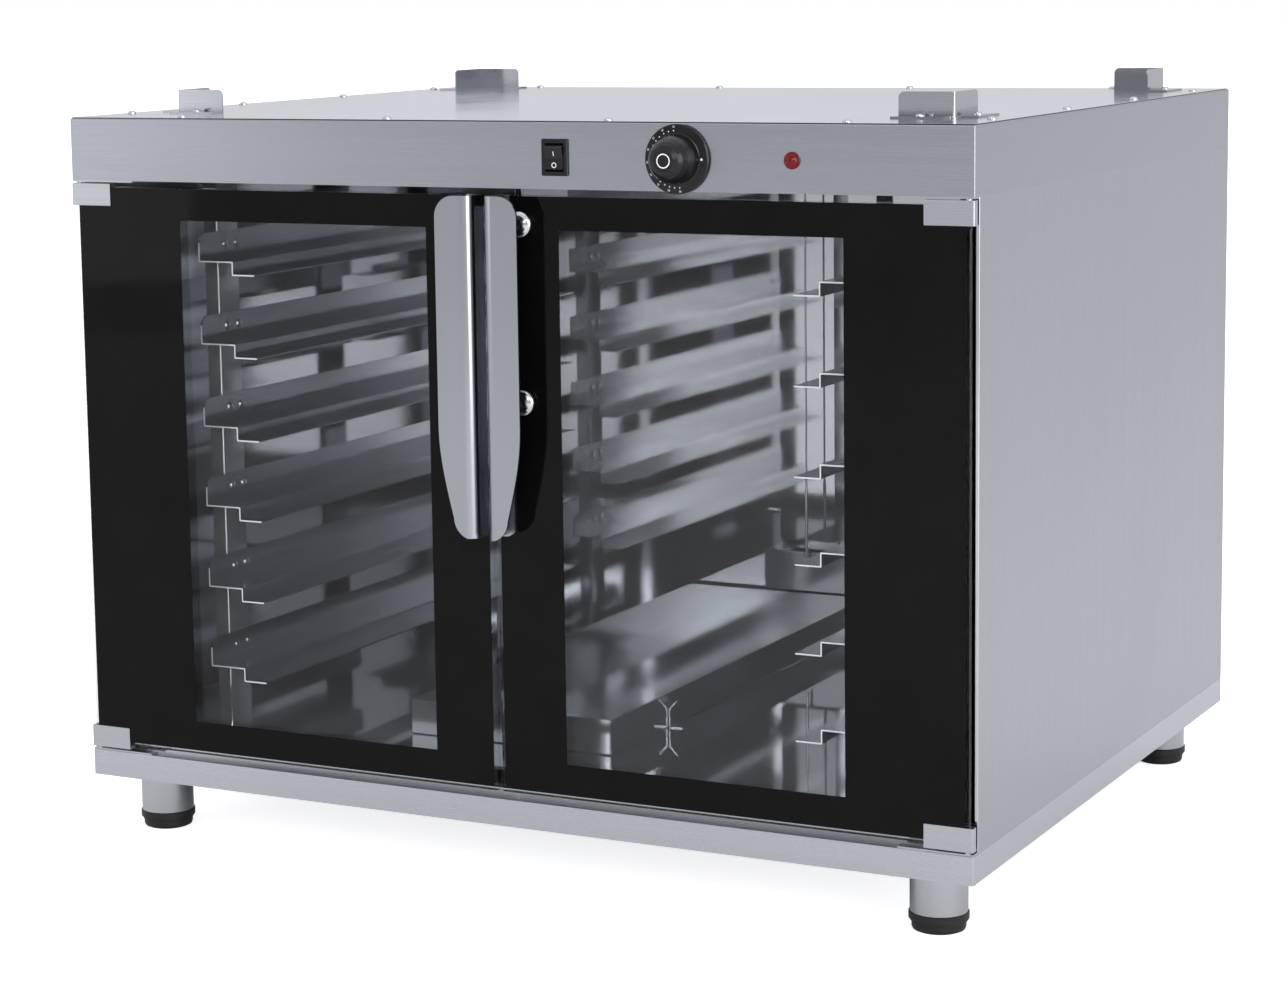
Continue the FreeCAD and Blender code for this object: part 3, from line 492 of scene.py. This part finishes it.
SIDE = two_sided_steel("steel_side", (0.37, 0.38, 0.415), inside=(0.50, 0.505, 0.53), rough=(0.24, 0.36))
BAND = brushed_steel("steel_band", (0.35, 0.36, 0.40), grain=X, rough=(0.20, 0.30))
BASE = brushed_steel("steel_base", (0.46, 0.47, 0.515), grain=X, rough=(0.22, 0.32))
LID = lid_steel("steel_lid", (0.88, 0.89, 0.95), rough=(0.10, 0.16), wave=0.3 * MM)
LINER = bright_steel("steel_liner", (0.56, 0.565, 0.59), rough=(0.03, 0.06),
                     wave=0.2 * MM, metallic=LINER_METALLIC)
RUNNER = edged_steel("steel_runner", (0.58, 0.59, 0.62), rough=(0.10, 0.18),
                     edge_y=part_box("runner_left_1")[0][1])
PAN = bright_steel("steel_pan", (0.62, 0.63, 0.66), rough=(0.08, 0.14),
                   wave=0.2 * MM, metallic=LINER_METALLIC)
HANDLE = brushed_steel("steel_handle", (0.33, 0.34, 0.37), grain=Z, rough=(0.16, 0.24))
CLIP = brushed_steel("steel_clip", (0.42, 0.43, 0.46), grain=X, rough=(0.2, 0.3))
BRACKET = brushed_steel("steel_bracket", (0.38, 0.39, 0.42), grain=X, rough=(0.10, 0.18))
LEG = brushed_steel("steel_leg", (0.42, 0.43, 0.45), grain=Z, rough=(0.14, 0.22))
SCREW = bright_steel("steel_screw", (0.52, 0.52, 0.54), rough=(0.05, 0.12))
BOLT = bright_steel("chrome_bolt", (0.56, 0.56, 0.58), rough=(0.12, 0.22))
ELEMENT = brushed_steel("steel_element", (0.30, 0.28, 0.27), grain=X, rough=(0.3, 0.45))
LINE = brushed_steel("steel_line", (0.60, 0.59, 0.57), grain=Z, rough=(0.2, 0.3))
GLASS = clear_glass("glass_clear")
ENAMEL = printed_enamel("black_enamel")
BLACK = moulded_plastic("plastic_black", (0.005, 0.005, 0.006), rough=(0.16, 0.28))
KNOB = ringed_plastic("plastic_knob", (0.005, 0.005, 0.006), rough=(0.16, 0.28))
PIN = bright_steel("steel_pin", (0.85, 0.85, 0.87), rough=(0.10, 0.20))
FOOT = moulded_plastic("plastic_foot", (0.008, 0.008, 0.009), rough=(0.38, 0.5), grain=FOOT_GRAIN)
LENS = lamp_lens("lens_red")
INK = marking_ink("ink_white")

FINISHES = {
    "base_frame": BASE, "chamber_floor": LINER, "side_panel": SIDE, "rear_panel": LINER,
    "chamber_ceiling": LINER, "header_shell": BAND, "top_panel": LID, "top_screws": SCREW,
    "bracket": BRACKET, "upright": LINER, "runner_left": RUNNER, "runner_right": RUNNER,
    "runner_screws": PIN, "water_pan": PAN, "pan_guides": PAN, "rear_duct": LINER,
    "heater_box": LINER, "heating_element": ELEMENT, "thermostat_capillary": LINE,
    "door_pivots": CLIP, "magnet_catches": BLACK, "door_glass": GLASS, "door_clips": CLIP,
    "door_handle": HANDLE, "handle_bolts": BOLT, "leg_tube": LEG, "foot": FOOT,
    "switch_housing": BLACK, "rocker": BLACK, "knob": KNOB, "thermostat_body": BLACK,
    "indicator_lamp": LENS, "cable_gland": BLACK,
}


def finish_for(name):
    """The material of a CAD node, by the longest matching name."""
    matches = [key for key in FINISHES if name.startswith(key)]
    return FINISHES[max(matches, key=len)]


for name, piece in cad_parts.items():
    piece.data.materials.clear()
    piece.data.materials.append(finish_for(name))


# ---------------------------------------------------------------- mesh helpers

def mesh_piece(name, build, material, body):
    """A mesh piece filled by build(bm), with its finish, riding on a body."""
    bm = bmesh.new()
    build(bm)
    bmesh.ops.recalc_face_normals(bm, faces=bm.faces)
    mesh = bpy.data.meshes.new(name)
    bm.to_mesh(mesh)
    bm.free()
    mesh.materials.append(material)
    piece = bpy.data.objects.new(name, mesh)
    bpy.context.scene.collection.objects.link(piece)
    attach(piece, body)
    return piece


def slab(bm, low, high):
    """A rectangular slab between two corners."""
    low, high = Vector(low), Vector(high)
    made = bmesh.ops.create_cube(bm, size=1.0)
    bmesh.ops.scale(bm, vec=high - low, verts=made["verts"])
    bmesh.ops.translate(bm, vec=(low + high) / 2, verts=made["verts"])


# ---------------------------------------------------------------- door print

def door_print(side):
    """The glossy black border of one door's glass."""
    low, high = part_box("door_glass_" + side)
    left_border, right_border = WINDOW_SIDES[side]
    x0, x1 = low[0] + CLEAR_MARGIN, high[0] - CLEAR_MARGIN
    z0, z1 = low[2] + CLEAR_MARGIN, high[2] - CLEAR_TOP
    wx0, wx1 = low[0] + left_border, high[0] - right_border
    wz0, wz1 = low[2] + WINDOW_BOTTOM, high[2] - WINDOW_TOP
    face = low[1] - PRINT_THICKNESS
    back = low[1]

    def build(bm):
        slab(bm, (x0, face, z0), (wx0, back, z1))
        slab(bm, (wx1, face, z0), (x1, back, z1))
        slab(bm, (wx0, face, z0), (wx1, back, wz0))
        slab(bm, (wx0, face, wz1), (wx1, back, z1))

    mesh_piece("door_print_" + side, build, ENAMEL, "door_" + side)


for side in ("left", "right"):
    door_print(side)


# ---------------------------------------------------------------- printed marks

def facing(centre, tilt=0.0):
    """A frame on the front: x across, y up the face and z out of it, tilted back by an angle."""
    return Matrix.Translation(centre) @ Matrix.Rotation(math.radians(90.0 - tilt), 4, "X")


def round_loop(bm, place, radius, height):
    """Vertices evenly round a circle, at a height over a plane."""
    loop = []
    for step in range(RING_PARTS):
        turn = 2.0 * math.pi * step / RING_PARTS
        point = Vector((radius * math.cos(turn), radius * math.sin(turn), height))
        loop.append(bm.verts.new(place @ point))
    return loop


def ring(bm, place, outer, inner, depth):
    """A flat ring standing on a plane."""
    corners = ((outer, -depth), (outer, depth), (inner, depth), (inner, -depth))
    loops = [round_loop(bm, place, radius, height) for radius, height in corners]
    for first, second in zip(loops, loops[1:] + loops[:1]):
        for step in range(RING_PARTS):
            after = (step + 1) % RING_PARTS
            bm.faces.new((first[step], first[after], second[after], second[step]))


def disc(bm, place, radius, depth):
    """A flat disc standing on a plane."""
    bmesh.ops.create_cone(bm, cap_ends=True, segments=DISC_PARTS, radius1=radius, radius2=radius,
                          depth=2.0 * depth, matrix=place)


def bar(bm, place, wide, tall, depth):
    """A flat bar standing on a plane."""
    made = bmesh.ops.create_cube(bm, size=1.0)
    bmesh.ops.scale(bm, vec=(wide, tall, 2.0 * depth), verts=made["verts"])
    bmesh.ops.transform(bm, matrix=place, verts=made["verts"])


def figure(bm, place, text, height, depth):
    """Raised figures standing on a plane, centred on it."""
    curve = bpy.data.curves.new("figure", "FONT")
    curve.body = text
    curve.size = height
    curve.extrude = depth
    curve.align_x = "CENTER"
    curve.align_y = "CENTER"
    holder = bpy.data.objects.new("figure", curve)
    mesh = bpy.data.meshes.new_from_object(holder)
    mesh.transform(place)
    bm.from_mesh(mesh)
    bpy.data.objects.remove(holder)
    bpy.data.meshes.remove(mesh)


def rocker_marks():
    """The on stroke on the upper half of the rocker and the off ring on the pressed lower half."""
    low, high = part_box("rocker")
    x, z = middle(low, high)
    lower_face = low[1] + ROCKER_LOWER_DEPTH
    valley = z - ROCKER_VALLEY_DROP
    slope = math.radians(ROCKER_SLOPE)
    stroke = (x, lower_face - STROKE_RISE * math.sin(slope), valley + STROKE_RISE * math.cos(slope))

    def build(bm):
        bar(bm, facing(stroke, -ROCKER_SLOPE), STROKE_WIDE, STROKE_TALL, MARK_DEPTH)
        ring(bm, facing((x, lower_face, valley - RING_DROP)), OFF_OUTER, OFF_INNER, MARK_DEPTH)

    mesh_piece("rocker_marks", build, INK, "power_rocker")


def dial_marks():
    """The dots and figures of the scale on the knob's skirt, and the larger off dot."""
    low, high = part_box("knob")
    x, z = middle(low, high)
    skirt = low[1] + DIAL_BACK

    def spot(radius, angle):
        turn = math.radians(angle)
        height = DIAL_RISE * (DIAL_EDGE - radius)
        return (x + radius * math.cos(turn), skirt - height, z + radius * math.sin(turn))

    def build(bm):
        disc(bm, facing(spot(OFF_DOT_RADIUS, OFF_DOT_ANGLE)), OFF_DOT_SIZE, MARK_DEPTH)
        for step in range(DOT_COUNT):
            angle = DOT_FIRST + step * DOT_STEP
            disc(bm, facing(spot(DOT_RADIUS, angle)), DOT_SIZE, MARK_DEPTH)
            if step % FIGURE_EVERY == 0:
                upright = Matrix.Rotation(math.radians(angle - 90.0), 4, "Z")
                reading = SCALE_FIRST + SCALE_STEP * step // FIGURE_EVERY
                place = facing(spot(FIGURE_RADIUS, angle)) @ upright
                figure(bm, place, str(reading), FIGURE_HEIGHT, MARK_DEPTH)

    mesh_piece("dial_marks", build, INK, "thermostat_knob")


rocker_marks()
dial_marks()


# ---------------------------------------------------------------- studio

def camera():
    """The camera, turned about the vertical, tilted down and rolled."""
    data = bpy.data.cameras.new("camera")
    data.sensor_width = CAMERA_SENSOR
    data.lens = CAMERA_LENS
    data.shift_x, data.shift_y = CAMERA_SHIFT
    made = bpy.data.objects.new("camera", data)
    turn = Matrix.Rotation(math.radians(CAMERA_AZIMUTH), 4, "Z")
    tilt = Matrix.Rotation(math.radians(90.0 - CAMERA_ELEVATION), 4, "X")
    roll = Matrix.Rotation(math.radians(-CAMERA_ROLL), 4, "Z")
    made.matrix_world = Matrix.Translation(CAMERA_PLACE) @ turn @ tilt @ roll
    bpy.context.scene.collection.objects.link(made)
    bpy.context.scene.camera = made


def softbox(name, place, facing_z, size, power):
    """A rectangular area light that faces a point on the cabinet's vertical axis."""
    data = bpy.data.lights.new(name, "AREA")
    data.shape = "RECTANGLE"
    data.size, data.size_y = size
    data.energy = power
    made = bpy.data.objects.new(name, data)
    aim = (Vector((0.0, 0.0, facing_z)) - Vector(place)).to_track_quat("-Z", "Y")
    made.matrix_world = Matrix.Translation(place) @ aim.to_matrix().to_4x4()
    bpy.context.scene.collection.objects.link(made)


def studio_world():
    """White studio to look at, with greyer walls for what the steel reflects."""
    world = bpy.data.worlds.new("studio")
    world.use_nodes = True
    bpy.context.scene.world = world
    tree = world.node_tree
    place = tree.nodes.new("ShaderNodeTexCoord")
    split = tree.nodes.new("ShaderNodeSeparateXYZ")
    tree.links.new(place.outputs["Generated"], split.inputs[0])
    left = ranged(tree, split.outputs["X"], 0.0, 1.0, *TURN_LEFT)
    back = ranged(tree, split.outputs["Y"], 0.0, 1.0, *TURN_BACK)
    right = ranged(tree, split.outputs["X"], 0.0, 1.0, *TURN_RIGHT)
    rise = ranged(tree, split.outputs["Z"], 0.0, 1.0, *TURN_UP)
    walls = blended(tree, left, WALL_FRONT_RIGHT, WALL_FRONT_LEFT)
    walls = blended(tree, back, walls, WALL_BACK)
    walls = blended(tree, right, walls, WALL_RIGHT)
    walls = blended(tree, rise, walls, CEILING)
    seen = tree.nodes.new("ShaderNodeLightPath")
    final = blended(tree, seen.outputs["Is Camera Ray"], walls, WHITE)
    tree.links.new(final, tree.nodes["Background"].inputs["Color"])


def studio_floor():
    """A plain pale floor that glows only for the camera."""
    material, tree, shader = new_material("studio_floor")
    feed(tree, shader.inputs["Base Color"], FLOOR_COLOR)
    shader.inputs["Roughness"].default_value = FLOOR_ROUGHNESS
    shader.inputs["Specular IOR Level"].default_value = FLOOR_SPECULAR
    feed(tree, shader.inputs["Emission Color"], WHITE)
    seen = tree.nodes.new("ShaderNodeLightPath").outputs["Is Camera Ray"]
    glow = ranged(tree, seen, FLOOR_GLOW_REFLECTED, FLOOR_GLOW, 0.0, 1.0)
    tree.links.new(glow, shader.inputs["Emission Strength"])
    bm = bmesh.new()
    bmesh.ops.create_circle(bm, cap_ends=True, segments=FLOOR_PARTS, radius=FLOOR_RADIUS)
    mesh = bpy.data.meshes.new("floor")
    bm.to_mesh(mesh)
    bm.free()
    mesh.materials.append(material)
    made = bpy.data.objects.new("floor", mesh)
    made.location = (0.0, 0.0, -FLOOR_DROP)
    bpy.context.scene.collection.objects.link(made)


camera()
studio_world()
studio_floor()
for name, light in SOFTBOXES.items():
    softbox(name, **light)
bpy.context.scene.view_settings.view_transform = "Standard"
